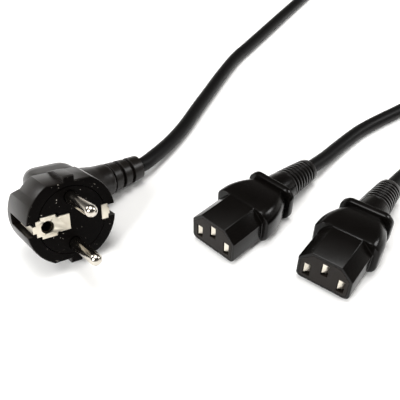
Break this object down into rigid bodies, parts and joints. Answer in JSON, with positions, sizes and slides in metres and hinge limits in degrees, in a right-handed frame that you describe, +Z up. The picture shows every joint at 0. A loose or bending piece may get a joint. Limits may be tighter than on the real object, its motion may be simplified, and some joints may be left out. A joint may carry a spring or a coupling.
{
  "type": "power cord splitter",
  "caption": "Black mains power cord splitter: an angled two-pin earthed plug, a coiled main cord, a moulded Y splitter and two tail cords with three-slot appliance connectors.",
  "frame": {"origin": "on the plane that everything lies on, under the middle of the plug, the splitter and the two connectors", "axes": "+Z up; +Y away from the contact faces, towards the coil; +X from the plug towards the connectors"},
  "size_m": [0.2769, 0.3775, 0.038],
  "materials": {
    "moulding": "satin moulded PVC",
    "carrier": "moulded, slightly rough",
    "cord": "extruded PVC sheath",
    "pin": "bright nickel plate",
    "earth_strip": "satin nickel plate",
    "contact": "rolled brass",
    "core_live": "brown PVC insulation",
    "core_neutral": "blue PVC insulation",
    "core_earth": "green and yellow PVC insulation",
    "tie": "soft PVC band"
  },
  "bodies": {
    "root": {"plug_body": "moulding", "plug_bridge": "carrier", "plug_pin_upper": "pin", "plug_pin_lower": "pin", "plug_earth_plate": "earth_strip", "plug_earth_sleeve": "contact", "plug_earth_clip": "earth_strip", "plug_core_live": "core_live", "plug_core_neutral": "core_neutral", "plug_core_earth": "core_earth", "connector_left_body": "moulding", "connector_left_carrier": "carrier", "connector_left_contact_live": "contact", "connector_left_contact_neutral": "contact", "connector_left_contact_earth": "contact", "connector_left_core_live": "core_live", "connector_left_core_neutral": "core_neutral", "connector_left_core_earth": "core_earth", "connector_right_body": "moulding", "connector_right_carrier": "carrier", "connector_right_contact_live": "contact", "connector_right_contact_neutral": "contact", "connector_right_contact_earth": "contact", "connector_right_core_live": "core_live", "connector_right_core_neutral": "core_neutral", "connector_right_core_earth": "core_earth", "splitter_body": "moulding", "splitter_splice_live": "contact", "splitter_splice_neutral": "contact", "splitter_splice_earth": "contact", "splitter_main_core_live": "core_live", "splitter_main_core_neutral": "core_neutral", "splitter_main_core_earth": "core_earth", "splitter_left_core_live": "core_live", "splitter_left_core_neutral": "core_neutral", "splitter_left_core_earth": "core_earth", "splitter_right_core_live": "core_live", "splitter_right_core_neutral": "core_neutral", "splitter_right_core_earth": "core_earth", "main_cord_start": "cord", "main_cord_coil": "cord", "main_cord_end": "cord", "coil_tie_1": "tie", "coil_tie_2": "tie", "tail_cord_left": "cord", "tail_cord_right": "cord"}
  },
  "joints": []
}
